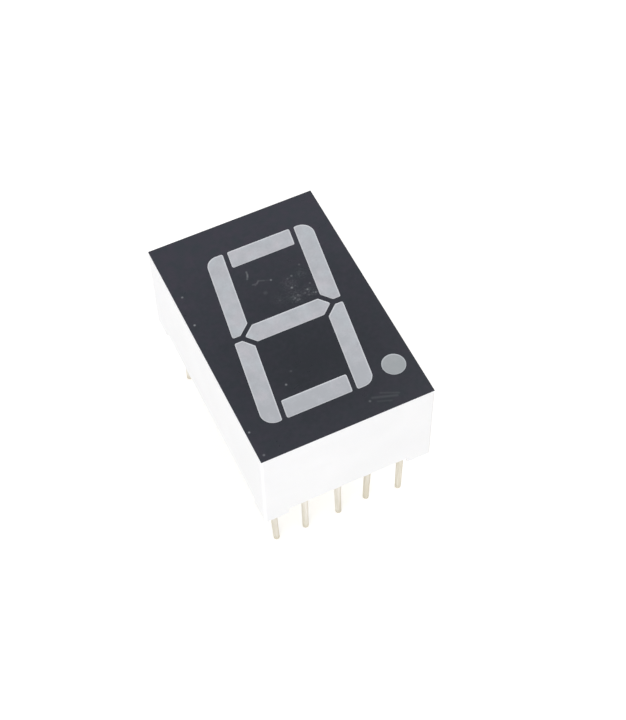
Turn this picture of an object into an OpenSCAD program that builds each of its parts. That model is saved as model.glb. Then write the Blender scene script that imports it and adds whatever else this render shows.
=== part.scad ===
// Single-digit seven segment display with a decimal point, for soldering through a board.
// Millimetres. The origin is the middle of the seating plane, where the feet of the body meet
// the board that carries it. +Z points out of the face, +Y to the top of the digit and +X to
// its right.

/* [Body] */
// Width of the body, across the digit
body_w = 12.7; // [12.4:0.1:16]
// Length of the body, along the digit
body_l = 19.1; // [18.8:0.1:24]
// Height of the body, from the seating plane to the face
body_h = 8; // [6.5:0.1:10]
// Radius of the upright corners
corner_r = 0.2; // [0.1:0.05:0.4]
// Bevel along the edges of the face and of the feet
edge_break = 0.05; // [0.03:0.01:0.12]
// Thickness of the walls above the board
wall_t = 1; // [0.8:0.05:1.25]
// Thickness of the skirt around the board and the potting
skirt_t = 0.5; // [0.4:0.05:0.6]
// Height of the four corner feet, which hold the rim off the board that carries the body
stand_h = 0.6; // [0.3:0.05:1]
// Length of each corner foot along both of its walls
stand_w = 1.8; // [1:0.1:3]
// Thickness of the face plate
face_t = 1; // [0.8:0.1:2]
// Thickness of the web around each light well
web_t = 0.6; // [0.4:0.05:0.8]
// Thickness of the ink on the face
ink_t = 0.05; // [0.02:0.01:0.1]

/* [Digit] */
// Height of the digit
digit_h = 14.2; // [11.8:0.1:14.6]
// Width of the digit, measured level
digit_w = 8.12; // [6.8:0.02:8.4]
// Height of the three level segments
bar_t = 1.42; // [1.1:0.02:1.8]
// Width of the four upright segments, measured level
post_t = 1.32; // [1.1:0.02:1.6]
// Gap between two segments
seg_gap = 0.35; // [0.25:0.01:0.45]
// Gap between the upper and the lower upright segments
waist_gap = 0.43; // [0.3:0.01:0.55]
// Flat end of each upright segment at the waist
foot_w = 0.58; // [0.4:0.02:0.7]
// Lean of the digit, in degrees
slant = 8; // [0:0.5:10]
// Radius of the digit's four outer corners
outer_r = 0.9; // [0.5:0.05:1]
// Radius of every other corner of a segment
nip_r = 0.12; // [0.05:0.01:0.2]
// Shift of the digit's middle to the right of the body's middle
digit_x = 0.03; // [-0.3:0.01:0.3]
// Shift of the digit's middle above the body's middle
digit_y = -0.08; // [-0.3:0.01:0.3]
// Diameter of the decimal point
point_d = 1.67; // [1.4:0.01:2]
// Decimal point's middle, to the right of the digit's middle
point_x = 4.79; // [4.6:0.01:4.9]
// Decimal point's middle, below the digit's middle
point_y = 6.38; // [6.2:0.02:6.8]

/* [Light wells] */
// Height of the straight mouth of a light well, under the face
mouth_h = 0.6; // [0.3:0.1:1.2]
// Height of the straight foot of a light well, above the board
foot_h = 0.3; // [0.2:0.1:0.6]
// How far each long side of a well comes in on the way down
side_in = 0.22; // [0.1:0.02:0.3]
// How far each end of a well comes in on the way down
end_in = 1.1; // [0.6:0.1:1.4]
// Depth of the filling's surface below the ink's
fill_sink = 0.02; // [0.01:0.01:0.04]

/* [Pins] */
// Diameter of a pin
pin_d = 0.5; // [0.4:0.02:0.6]
// Length of a pin below the seating plane
pin_out = 6.5; // [3:0.1:9]
// Bevel around a pin's tip
pin_tip = 0.08; // [0.04:0.01:0.12]
// Distance between two pins of a row
pin_pitch = 2.54; // [2:0.01:2.6]
// Distance between the two rows
row_pitch = 15.24; // [15:0.01:15.4]
// How much thicker the ribbed shank is than the pin, on each side
shank_grip = 0.03; // [0.02:0.01:0.06]
// How far the shank stands above the board
shank_over = 0.3; // [0.1:0.1:0.6]
// Room around and above each shank in the housing
shank_room = 0.12; // [0.08:0.01:0.16]

/* [Board] */
// Thickness of the board
board_t = 1; // [0.6:0.1:1.6]
// Depth of the board's underside inside the rim
board_deep = 1.3; // [1:0.1:1.8]
// Gap between the board's edge and the skirt
board_fit = 0.05; // [0.02:0.01:0.1]
// Thickness of the copper, which lies flush in the board's surface
copper_t = 0.035; // [0.018:0.001:0.07]
// Width of the trace of one segment
trace_w = 0.25; // [0.2:0.01:0.35]
// Width of the trace that all chips share
common_w = 0.4; // [0.3:0.02:0.5]
// Diameter of the copper around a pin
land_d = 1.1; // [0.9:0.02:1.2]
// Diameter of the copper under a chip
chip_land_d = 0.62; // [0.5:0.02:0.7]
// Diameter of the copper under the far end of a bond wire
wire_land_d = 0.4; // [0.3:0.02:0.5]

/* [Chips] */
// Width of a light emitting chip
chip_w = 0.3; // [0.2:0.02:0.36]
// Height of a light emitting chip
chip_h = 0.22; // [0.15:0.01:0.3]
// Distance of a chip from the middle of its segment
chip_off = 0.35; // [0.3:0.01:0.4]
// Diameter of the adhesive under a chip
glue_d = 0.5; // [0.44:0.02:0.6]
// Thickness of the adhesive under a chip
glue_t = 0.03; // [0.01:0.01:0.05]
// Diameter of a bond wire
wire_d = 0.03; // [0.02:0.005:0.05]
// Diameter of the flattened ball that joins a wire to its chip
ball_d = 0.08; // [0.06:0.01:0.1]
// Height of that ball
ball_h = 0.02; // [0.01:0.005:0.03]

/* [Solder and potting] */
// Height of the solder around a pin
solder_h = 0.5; // [0.3:0.05:0.7]
// Thickness of the solder where it thins out along a pin
solder_lip = 0.02; // [0.01:0.01:0.05]
// Depth of the potting's surface inside the rim
pot_sink = 0.3; // [0.2:0.05:0.5]
// Height of the potting drawn up around each pin
pot_creep = 0.16; // [0.05:0.01:0.2]
// Width of the potting drawn up around each pin
pot_foot = 0.22; // [0.1:0.01:0.3]

/* [Hidden] */
LIGHTS = ["a", "b", "c", "d", "e", "f", "g", "point"];
SEGMENTS = [for (s = LIGHTS) if (s != "point") s];
row_pins = 5;  // pins in each of the two rows
PINS = [1:2 * row_pins];

$fn = 48;
over = 1;           // how far a cutting shape runs past what it cuts
outer_steps = 10;   // chords in a large corner
nip_steps = 3;      // chords in a small corner
shank_sides = 10;   // ribs of a pin's shank
solder_steps = 6;   // chords in the hollow of a solder joint

// Heights
rim_z = stand_h;                 // underside of the skirt between the feet
pot_z = rim_z + pot_sink;        // surface of the potting
back_z = rim_z + board_deep;     // underside of the board
board_z = back_z + board_t;      // top of the board, on which the walls and the webs stand
plate_z = body_h - ink_t;        // top of the moulding, under the ink
fill_z = body_h - fill_sink;     // surface of the fillings
shank_top = board_z + shank_over;

// Radii
pin_r = pin_d / 2;
shank_r = pin_r + shank_grip;

// The digit, upright and about its own middle
half_h = digit_h / 2;
post_x = digit_w / 2;                     // outer edge of the upright segments
post_in = post_x - post_t;                // inner edge of the upright segments
bar_x = post_in - seg_gap;                // end of the top and bottom segments
waist_y = waist_gap / 2;
bevel_sum = post_x - foot_w + waist_y;    // x + y along the bevel of an upright segment
tip_x = bevel_sum - seg_gap * sqrt(2);    // end of the middle segment
knee_x = tip_x - bar_t / 2;               // where the middle segment's point begins
point_c = [digit_x + point_x, digit_y - point_y];

// Corners are [x, y, radius, chords], counter-clockwise
function nip(x, y) = [x, y, nip_r, nip_steps];

BAR = [
    nip(-bar_x, half_h - bar_t),
    nip(bar_x, half_h - bar_t),
    nip(bar_x, half_h),
    nip(-bar_x, half_h)
];
POST = [
    nip(post_in, bevel_sum - post_in),
    nip(post_x - foot_w, waist_y),
    nip(post_x, waist_y),
    [post_x, half_h, outer_r, outer_steps],
    nip(post_in, half_h)
];
MIDDLE = [
    nip(-tip_x, 0),
    nip(-knee_x, -bar_t / 2),
    nip(knee_x, -bar_t / 2),
    nip(tip_x, 0),
    nip(knee_x, bar_t / 2),
    nip(-knee_x, bar_t / 2)
];

function reversed(v) = [for (i = [len(v) - 1:-1:0]) v[i]];

// The same corners in another quarter of the digit, still counter-clockwise
function flipped(v, sx, sy) =
    let (f = [for (c = v) [sx * c[0], sy * c[1], c[2], c[3]]])
    sx * sy > 0 ? f : reversed(f);

function corners(s) =
    s == "a" ? BAR :
    s == "b" ? POST :
    s == "c" ? flipped(POST, 1, -1) :
    s == "d" ? flipped(BAR, 1, -1) :
    s == "e" ? flipped(POST, -1, -1) :
    s == "f" ? flipped(POST, -1, 1) :
    MIDDLE;

function is_level(s) = s == "a" || s == "d" || s == "g";

// Lowest and highest of the corners' x (k = 0) or y (k = 1)
function low(v, k) = min([for (c = v) c[k]]);
function high(v, k) = max([for (c = v) c[k]]);
function middle(v) = [for (k = [0, 1]) (low(v, k) + high(v, k)) / 2];

// Corners drawn in towards their middle by dx and dy at the sides
function drawn_in(v, dx, dy) =
    let (
        m = middle(v),
        kx = 1 - 2 * dx / (high(v, 0) - low(v, 0)),
        ky = 1 - 2 * dy / (high(v, 1) - low(v, 1))
    )
    [for (c = v) [m[0] + kx * (c[0] - m[0]), m[1] + ky * (c[1] - m[1]), c[2] * min(kx, ky), c[3]]];

// From the upright digit to the body, with the lean
function placed(p) = [digit_x + p[0] + p[1] * tan(slant), digit_y + p[1]];
function leaning(v) = [for (c = v) [each placed(c), c[2], c[3]]];

function flat(c) = [c[0], c[1]];
function unit(p) = p / norm(p);
function before(v, i) = flat(v[(i + len(v) - 1) % len(v)]);
function after(v, i) = flat(v[(i + 1) % len(v)]);
function outward(p, q) = let (d = unit(q - p)) [d[1], -d[0]];

// Corners moved out by d, square to each side
function grown(v, d) = [
    for (i = [0:len(v) - 1])
        let (
            p = flat(v[i]),
            n1 = outward(before(v, i), p),
            n2 = outward(p, after(v, i)),
            q = p + (n1 + n2) * d / (1 + n1 * n2)
        )
        [q[0], q[1], v[i][2] + d, v[i][3]]
];

// The points of an outline whose corners are rounded by arcs
function rounded(v) = [
    for (i = [0:len(v) - 1])
        let (
            p = flat(v[i]),
            r = v[i][2],
            a = unit(before(v, i) - p),
            b = unit(after(v, i) - p),
            half = acos(a * b) / 2,
            centre = p + unit(a + b) * r / sin(half),
            start = p + a * r / tan(half) - centre
        )
        for (k = [0:v[i][3]])
            let (t = (180 - 2 * half) * k / v[i][3])
            centre + [start[0] * cos(t) - start[1] * sin(t), start[0] * sin(t) + start[1] * cos(t)]
];

function mouth(s) = rounded(leaning(corners(s)));
function foot(s) = rounded(leaning(
    is_level(s) ? drawn_in(corners(s), end_in, side_in) : drawn_in(corners(s), side_in, end_in)
));
function web(s) = rounded(grown(leaning(corners(s)), web_t));

// A chip and the far land of its wire lie on either side of the middle of their segment.
// The land is on the side where its trace leaves.
function light_middle(s) = s == "point" ? point_c : placed(middle(corners(s)));
function land_side(s) = s == "c" || s == "d" || s == "e" || s == "g" ? -1 : 1;
function light_angle(s) = (s == "point" || is_level(s) ? 0 : 90 - slant) + (land_side(s) < 0 ? 180 : 0);
function along_light(s, d) = light_middle(s) + d * [cos(light_angle(s)), sin(light_angle(s))];
function chip_at(s) = along_light(s, -chip_off);
function land_at(s) = along_light(s, chip_off);

// Pins 1 to 5 run left to right below the digit, and 6 to 10 right to left above it
function pin_at(n) = n <= row_pins
    ? [(n - (row_pins + 1) / 2) * pin_pitch, -row_pitch / 2]
    : [((3 * row_pins + 1) / 2 - n) * pin_pitch, row_pitch / 2];

upper_tee = [(chip_at("f")[0] + chip_at("b")[0]) / 2, chip_at("f")[1]];
lower_tee = [(chip_at("e")[0] + chip_at("c")[0]) / 2, chip_at("e")[1]];

// The trace that joins all the chips to the two middle pins
COMMON = [
    [pin_at(3), chip_at("d"), lower_tee, chip_at("g"), upper_tee, chip_at("a"), pin_at(8)],
    [chip_at("f"), upper_tee, chip_at("b")],
    [chip_at("e"), lower_tee, chip_at("c"), [chip_at("point")[0], chip_at("c")[1]], chip_at("point")]
];

// The trace from each wire's far land to its own pin
SINGLE = [
    [land_at("e"), pin_at(1)],
    [land_at("d"), pin_at(2)],
    [land_at("c"), pin_at(4)],
    [land_at("point"), pin_at(5)],
    [land_at("b"), pin_at(6)],
    [land_at("a"), pin_at(7)],
    [land_at("f"), pin_at(9)],
    [land_at("g"), [pin_at(10)[0], land_at("g")[1]], pin_at(10)]
];

// --- shapes used by several sub-parts ---

module rounded_rect(w, l, r) {
    square([w - 2 * r, l], center = true);
    square([w, l - 2 * r], center = true);
    for (x = [-1, 1], y = [-1, 1])
        translate([x * (w / 2 - r), y * (l / 2 - r)])
            circle(r);
}

// A profile of the body with its four corners bevelled, standing on the seating plane
module bevelled_profile(w) {
    b = edge_break;
    polygon([
        [-w / 2 + b, 0], [w / 2 - b, 0], [w / 2, b], [w / 2, plate_z - b],
        [w / 2 - b, plate_z], [-w / 2 + b, plate_z], [-w / 2, plate_z - b], [-w / 2, b]
    ]);
}

module body_block() {
    intersection() {
        linear_extrude(plate_z)
            rounded_rect(body_w, body_l, corner_r);
        rotate([90, 0, 0])
            linear_extrude(body_l + 2 * over, center = true)
                bevelled_profile(body_w);
        rotate([90, 0, 90])
            linear_extrude(body_w + 2 * over, center = true)
                bevelled_profile(body_l);
    }
}

// The room under the skirt, which leaves the four corner feet standing
module between_feet() {
    for (s = [[body_w - 2 * stand_w, body_l + 2 * over], [body_w + 2 * over, body_l - 2 * stand_w]])
        translate([0, 0, rim_z / 2 - over / 2])
            cube([s[0], s[1], rim_z + over], center = true);
}

// A block of the skirt's inside, less a gap all round
module skirt_block(gap, low_z, high_z) {
    translate([0, 0, low_z])
        linear_extrude(high_z - low_z)
            square([body_w - 2 * (skirt_t + gap), body_l - 2 * (skirt_t + gap)], center = true);
}

// A solid through outlines of equally many points, each at its own height, lowest first
module loft(outlines, heights) {
    n = len(outlines[0]);
    last = (len(outlines) - 1) * n;
    points = [for (i = [0:len(outlines) - 1]) for (p = outlines[i]) [p[0], p[1], heights[i]]];
    sides = [
        for (ring = [0:n:last - 1])
            for (i = [0:n - 1])
                let (a = ring + i, b = ring + (i + 1) % n)
                each [[a, a + n, b], [b, a + n, b + n]]
    ];
    polyhedron(points, concat([[for (i = [0:n - 1]) i]], [[for (i = [n - 1:-1:0]) last + i]], sides));
}

// The inside of one light well: a straight foot, a drafted middle and a straight mouth
module well(s, low_z, high_z) {
    foot_z = board_z + foot_h;
    mouth_z = plate_z - mouth_h;
    if (s == "point") {
        translate([point_c[0], point_c[1], 0]) {
            translate([0, 0, low_z])
                cylinder(h = foot_z - low_z, r = point_d / 2 - side_in);
            translate([0, 0, foot_z])
                cylinder(h = mouth_z - foot_z, r1 = point_d / 2 - side_in, r2 = point_d / 2);
            translate([0, 0, mouth_z])
                cylinder(h = high_z - mouth_z, d = point_d);
        }
    } else {
        loft([foot(s), foot(s), mouth(s), mouth(s)], [low_z, foot_z, mouth_z, high_z]);
    }
}

module windows() {
    for (s = SEGMENTS)
        polygon(mouth(s));
    translate(point_c)
        circle(d = point_d);
}

module at_pins() {
    for (n = PINS)
        translate(pin_at(n))
            children();
}

module shank(low_z, high_z) {
    translate([0, 0, low_z])
        cylinder(h = high_z - low_z, r = shank_r, $fn = shank_sides);
}

module trace(points, w) {
    for (i = [0:len(points) - 1])
        translate(points[i])
            circle(d = w);
    for (i = [1:len(points) - 1]) {
        step = points[i] - points[i - 1];
        translate(points[i - 1])
            rotate(atan2(step[1], step[0]))
                translate([0, -w / 2])
                    square([norm(step), w]);
    }
}

module pin_lands() {
    at_pins()
        circle(d = land_d);
}

module front_pattern() {
    pin_lands();
    for (t = COMMON)
        trace(t, common_w);
    for (t = SINGLE)
        trace(t, trace_w);
    for (s = LIGHTS) {
        translate(chip_at(s))
            circle(d = chip_land_d);
        translate(land_at(s))
            circle(d = wire_land_d);
    }
}

// --- sub-parts ---

module reflector_housing() {
    color("#f3f2ee")
        difference() {
            union() {
                difference() {
                    body_block();
                    between_feet();
                    skirt_block(0, -over, board_z);
                    translate([0, 0, board_z - over])
                        linear_extrude(plate_z - face_t - board_z + over)
                            square([body_w - 2 * wall_t, body_l - 2 * wall_t], center = true);
                }
                translate([0, 0, board_z])
                    linear_extrude(plate_z - face_t / 2 - board_z) {
                        for (s = SEGMENTS)
                            polygon(web(s));
                        translate(point_c)
                            circle(r = point_d / 2 + web_t);
                    }
            }
            for (s = LIGHTS)
                well(s, board_z - over, plate_z + over);
            at_pins()
                translate([0, 0, board_z - over])
                    cylinder(h = shank_over + shank_room + over, r = shank_r + shank_room);
        }
}

module face_ink() {
    color("#3c3d45")
        translate([0, 0, plate_z])
            linear_extrude(ink_t)
                difference() {
                    square([body_w - 2 * edge_break, body_l - 2 * edge_break], center = true);
                    windows();
                }
}

module circuit_board() {
    color("#4c6e3c")
        difference() {
            skirt_block(board_fit, back_z, board_z);
            translate([0, 0, board_z - copper_t])
                linear_extrude(copper_t + over)
                    front_pattern();
            translate([0, 0, back_z - over])
                linear_extrude(copper_t + over)
                    pin_lands();
            at_pins()
                shank(back_z - over, board_z + over);
        }
}

module front_copper() {
    color("#c98f5c")
        difference() {
            translate([0, 0, board_z - copper_t])
                linear_extrude(copper_t)
                    front_pattern();
            at_pins()
                shank(back_z, board_z + over);
        }
}

module back_copper() {
    color("#c98f5c")
        difference() {
            translate([0, 0, back_z])
                linear_extrude(copper_t)
                    pin_lands();
            at_pins()
                shank(back_z - over, board_z);
        }
}

// The concave cone of solder around a pin, hanging from the board's underside
module solder_cone() {
    low_r = shank_r + solder_lip;
    hollow = [
        for (i = [0:solder_steps])
            let (t = 90 * i / solder_steps)
            [low_r + (land_d / 2 - low_r) * (1 - sin(t)), -solder_h * (1 - cos(t))]
    ];
    translate([0, 0, back_z])
        rotate_extrude()
            polygon(concat([[0, 0]], hollow, [[0, -solder_h]]));
}

module solder_joint(n) {
    color("#b8b8b4")
        translate(pin_at(n))
            difference() {
                solder_cone();
                shank(back_z - solder_h - over, board_z);
            }
}

module rear_potting() {
    color("#e6e2d4")
        difference() {
            union() {
                skirt_block(0, pot_z, back_z);
                at_pins()
                    translate([0, 0, pot_z - pot_creep])
                        cylinder(h = pot_creep, r1 = shank_r + solder_lip, r2 = shank_r + pot_foot);
            }
            at_pins() {
                shank(-over, board_z);
                solder_cone();
            }
        }
}

module pin(n) {
    color("#d9d5ca")
        translate(pin_at(n)) {
            translate([0, 0, -pin_out])
                cylinder(h = pin_tip, r1 = pin_r - pin_tip, r2 = pin_r);
            translate([0, 0, pin_tip - pin_out])
                cylinder(h = pin_out - pin_tip, r = pin_r);
            shank(0, shank_top);
        }
}

// Everything below is placed about the middle of a light, with the chip on its -X side
module at_light(s) {
    translate(light_middle(s))
        rotate(light_angle(s))
            children();
}

module adhesive_dot(low_z) {
    translate([-chip_off, 0, low_z])
        cylinder(h = board_z + glue_t - low_z, d = glue_d);
}

module chip_block() {
    translate([-chip_off, 0, board_z + glue_t + chip_h / 2])
        cube([chip_w, chip_w, chip_h], center = true);
}

module wire_loop(low_z) {
    top_z = board_z + glue_t + chip_h;
    translate([-chip_off, 0, top_z])
        cylinder(h = ball_h, d = ball_d);
    translate([0, 0, top_z])
        rotate([90, 0, 0])
            rotate_extrude(angle = 180)
                translate([chip_off, 0])
                    circle(d = wire_d);
    translate([chip_off, 0, low_z])
        cylinder(h = top_z - low_z, d = wire_d);
}

module chip_adhesive(s) {
    color("#b8b8b4")
        at_light(s)
            adhesive_dot(board_z);
}

module chip(s) {
    color("#8c2a2e")
        at_light(s)
            chip_block();
}

module bond_wire(s) {
    color("#d8b25a")
        at_light(s)
            wire_loop(board_z);
}

module light_fill(s) {
    color(s == "point" ? "#a2a9ab" : "#b9bbc5")
        difference() {
            well(s, board_z, fill_z);
            at_light(s) {
                adhesive_dot(board_z - over);
                chip_block();
                wire_loop(board_z - over);
            }
        }
}

reflector_housing();
face_ink();
circuit_board();
front_copper();
back_copper();
rear_potting();
for (s = LIGHTS) {
    light_fill(s);
    chip(s);
    chip_adhesive(s);
    bond_wire(s);
}
for (n = PINS) {
    pin(n);
    solder_joint(n);
}
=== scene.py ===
"""Looks of a single-digit seven segment display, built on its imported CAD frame.

Places are in metres in the CAD frame unless a name ends in mm. The origin is the middle of the seating plane,
on which the feet stand. +Z points out of the face, +Y to the top of the digit and +X to its right.
"""

import logging
import math
from dataclasses import dataclass
from enum import Enum
from functools import partial
from typing import Any, Protocol

import bmesh
import bpy
import numpy as np
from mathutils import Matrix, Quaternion, Vector


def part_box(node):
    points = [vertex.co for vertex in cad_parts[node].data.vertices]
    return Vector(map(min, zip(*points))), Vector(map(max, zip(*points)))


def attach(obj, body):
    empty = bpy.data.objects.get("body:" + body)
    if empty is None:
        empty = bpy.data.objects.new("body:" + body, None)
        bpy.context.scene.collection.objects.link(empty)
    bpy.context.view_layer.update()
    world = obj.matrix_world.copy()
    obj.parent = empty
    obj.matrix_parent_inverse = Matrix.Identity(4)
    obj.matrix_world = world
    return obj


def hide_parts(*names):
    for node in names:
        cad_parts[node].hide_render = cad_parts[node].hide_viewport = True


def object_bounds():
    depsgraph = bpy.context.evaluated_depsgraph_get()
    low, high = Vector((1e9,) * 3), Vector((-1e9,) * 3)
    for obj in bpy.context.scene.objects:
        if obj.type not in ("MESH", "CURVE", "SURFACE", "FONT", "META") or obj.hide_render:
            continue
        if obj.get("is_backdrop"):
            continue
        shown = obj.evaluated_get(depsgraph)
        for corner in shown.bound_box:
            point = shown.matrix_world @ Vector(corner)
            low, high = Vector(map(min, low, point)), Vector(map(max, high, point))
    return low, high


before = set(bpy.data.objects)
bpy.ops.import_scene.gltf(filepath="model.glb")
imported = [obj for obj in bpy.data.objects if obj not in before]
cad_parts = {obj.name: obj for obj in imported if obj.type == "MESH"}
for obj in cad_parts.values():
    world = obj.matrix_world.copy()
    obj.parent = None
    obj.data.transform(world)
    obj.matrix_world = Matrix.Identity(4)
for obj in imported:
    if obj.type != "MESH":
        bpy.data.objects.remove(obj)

Material = bpy.types.Material
Socket = bpy.types.NodeSocket
Tree = bpy.types.NodeTree
Span = tuple[float, float]  # a first and a last value

MM = 0.001  # one millimetre, in metres
BODY = "root"  # the body that every piece rides on
RIM = "rim"  # the resin's attribute: 1 at the rim of a well, 0 further in; it places the pale rim, partly a painted highlight
NOISE: Span = (0.3, 0.7)  # what most of a noise pattern lies between
WHOLE: Span = (0.0, 1.0)
FADING: Span = (1.0, 0.0)
WAVE_BAND = 0.314  # the scale at which a wave pattern has one band in each unit
log = logging.getLogger("display")


class Slot(Enum):
    """The record's material slots, by name; no piece here takes its finish from them."""

    LIGHT_RESIN = "light_resin"
    POINT_RESIN = "point_resin"
    POTTING_RESIN = "potting_resin"
    TINNED_PIN = "tinned_pin"


class Light(Enum):
    """The lights of the display, by the ends of their CAD nodes' names."""

    TOP = "a"
    UPPER_RIGHT = "b"
    LOWER_RIGHT = "c"
    BOTTOM = "d"
    LOWER_LEFT = "e"
    UPPER_LEFT = "f"
    MIDDLE = "g"
    POINT = "point"


def linear(hex_colour: str) -> tuple[float, float, float, float]:
    """Turns an sRGB hex value into a linear colour.

    Args:
        hex_colour: the colour as "#rrggbb".

    Returns:
        The red, green and blue in linear light, and an alpha of 1.
    """
    shares = (int(hex_colour[i:i + 2], 16) / 255 for i in (1, 3, 5))
    red, green, blue = (s / 12.92 if s <= 0.04045 else ((s + 0.055) / 1.055) ** 2.4 for s in shares)
    return red, green, blue, 1.0


def add_node(
    tree: Tree, kind: str, inputs: dict[str | int, Any] | None = None, **settings: Any
) -> Socket | None:
    """Adds a node with its settings, and links or sets its inputs.

    Args:
        tree: the tree that gets the node.
        kind: the node's type.
        inputs: a socket to link or a value to set, by the input's name or number.
        **settings: the node's own properties.

    Returns:
        The first output in use, whose node holds the others, or None where the node has no output.
    """
    node = tree.nodes.new(kind)
    for name, value in settings.items():
        setattr(node, name, value)
    for key, value in (inputs or {}).items():
        if isinstance(value, Socket):
            tree.links.new(value, node.inputs[key])
        else:
            node.inputs[key].default_value = value
    return next((output for output in node.outputs if output.enabled), None)


def ramp(value: Socket, source: Span, result: Span = WHOLE) -> dict[str, Any]:
    """Gives the inputs of a range that takes a value from one span to another."""
    ends = {"From Min": source[0], "From Max": source[1], "To Min": result[0], "To Max": result[1]}
    return {"Value": value, **ends}


def blend(share: Socket | float, first: Socket | str, second: Socket | str) -> dict[int, Any]:
    """Gives the inputs of a mix of two colours, hex values or sockets, by number as their names repeat."""
    first, second = (linear(colour) if isinstance(colour, str) else colour for colour in (first, second))
    return {0: share, 6: first, 7: second}


class Recipe:
    """A material in the making, with the object's own coordinates in millimetres.

    Attributes:
        material: the material.
        add: add_node, for the material's own tree.
        place: each spot's place in the CAD frame, in millimetres.
    """

    def __init__(self, name: str) -> None:
        """Starts an empty material.

        Args:
            name: what the real material is.
        """
        self.material = bpy.data.materials.new(name)
        self.material.use_nodes = True
        self.material.node_tree.nodes.clear()
        self.add = partial(add_node, self.material.node_tree)
        where = self.add("ShaderNodeTexCoord").node.outputs["Object"]
        self.place = self.add("ShaderNodeVectorMath", {0: where, "Scale": 1 / MM}, operation="SCALE")

    def surface(self, inputs: dict[str, Any], relief: dict[str, Any]) -> Material:
        """Closes the material with one shader.

        Args:
            inputs: the shader's patterns and its constant values.
            relief: the strength, depth and pattern of its relief.

        Returns:
            The finished material.
        """
        normal = self.add("ShaderNodeBump", relief)
        shader = self.add("ShaderNodeBsdfPrincipled", {**inputs, "Normal": normal})
        self.add("ShaderNodeOutputMaterial", {"Surface": shader})
        return self.material

    def strongest(self, sources: list[Socket]) -> Socket:
        """Keeps, at each spot, the largest of several values.

        Args:
            sources: the values.

        Returns:
            The largest one.
        """
        best = sources[0]
        for source in sources[1:]:
            best = self.add("ShaderNodeMath", {0: best, 1: source}, operation="MAXIMUM")
        return best


class Finish(Protocol):
    """What every finish can do."""

    def make(self) -> Material:
        """Builds the finish as a material."""


@dataclass(frozen=True)
class MouldedPolycarbonate:
    """White polycarbonate, filled with titanium dioxide and injection moulded in a spark-eroded tool.

    The filler makes it opaque and nearly colourless, with light creeping a little under its edges. The tool
    leaves an even fine grain that dulls the gloss, and the melt leaves faint broad flow marks.
    """

    white: str = "#fbfbfc"
    flow_white: str = "#f7f7f8"
    flow_mm: float = 4.5
    flow_shows: Span = (0.35, 0.7)
    grain_mm: float = 0.13  # sparks leave pits of about 0.03 mm, drawn coarser so that they show
    grain_deep_mm: float = 0.004
    rough: Span = (0.40, 0.54)
    light_creeps_mm: float = 0.25

    def make(self) -> Material:
        """Builds the finish.

        Returns:
            Its material.
        """
        recipe = Recipe("moulded_white_polycarbonate")
        add, place = recipe.add, recipe.place
        flow = add("ShaderNodeTexNoise", {
            "Vector": place, "Scale": 1 / self.flow_mm, "Detail": 3.0, "Distortion": 0.6,
        })
        grain = add("ShaderNodeTexNoise", {"Vector": place, "Scale": 1 / self.grain_mm, "Detail": 2.0})
        share = add("ShaderNodeMapRange", ramp(flow, self.flow_shows))
        colour = add("ShaderNodeMix", blend(share, self.white, self.flow_white), data_type="RGBA")
        rough = add("ShaderNodeMapRange", ramp(grain, NOISE, self.rough))
        return recipe.surface({
            "Base Color": colour, "Roughness": rough, "IOR": 1.58, "Subsurface Weight": 0.06,
            "Subsurface Radius": (1.0, 0.9, 0.75), "Subsurface Scale": self.light_creeps_mm * MM,
        }, {"Strength": 0.5, "Distance": self.grain_deep_mm * MM, "Height": grain})


@dataclass(frozen=True)
class Spot:
    """A round mark on the ink: a nick, a grain of dust, or a rubbed patch full of fine specks.

    Attributes:
        x_mm: its middle to the right of the body's middle.
        y_mm: its middle above the body's middle.
        wide_mm: its width.
        strength: how far it hides the ink, or how dense its specks are, from 0 to 1.
    """

    x_mm: float
    y_mm: float
    wide_mm: float
    strength: float


@dataclass(frozen=True)
class Scratch:
    """A short scratch in the ink, from one point to another.

    Attributes:
        start_mm: where it starts, as x and y.
        end_mm: where it ends.
        wide_mm: its width.
        strength: how far it hides the ink, from 0 to 1.
    """

    start_mm: tuple[float, float]
    end_mm: tuple[float, float]
    wide_mm: float
    strength: float


NICKS = (
    Spot(-5.70, 4.82, 0.25, 0.32),
    Spot(-5.86, 2.30, 0.25, 0.44),
    Spot(0.40, 3.49, 0.25, 0.28),
    Spot(1.42, 2.26, 0.27, 0.34),
    Spot(2.33, 1.66, 0.26, 0.30),
    Spot(2.74, 1.19, 0.24, 0.28),
    Spot(2.58, 1.25, 0.22, 0.15),
    Spot(1.53, 1.51, 0.23, 0.20),
    Spot(1.24, 1.36, 0.25, 0.22),
    Spot(1.47, 1.13, 0.25, 0.16),
    Spot(2.05, 1.45, 0.24, 0.13),
    Spot(1.82, 3.19, 0.27, 0.18),
    Spot(1.47, 3.08, 0.24, 0.11),
    Spot(2.70, 2.07, 0.24, 0.13),
    Spot(1.70, 2.32, 0.22, 0.08),
    Spot(2.72, 3.84, 0.25, 0.12),
    Spot(-0.40, 2.66, 0.50, 0.05),
    Spot(-0.76, 3.56, 0.24, 0.07),
    Spot(-2.32, -4.78, 0.25, 0.33),
    Spot(-1.58, -3.95, 0.28, 0.08),
    Spot(-6.05, -7.08, 0.24, 0.40),
    Spot(-5.90, -9.05, 0.27, 0.22),
    Spot(2.08, -8.38, 0.28, 0.15),
)
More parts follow.
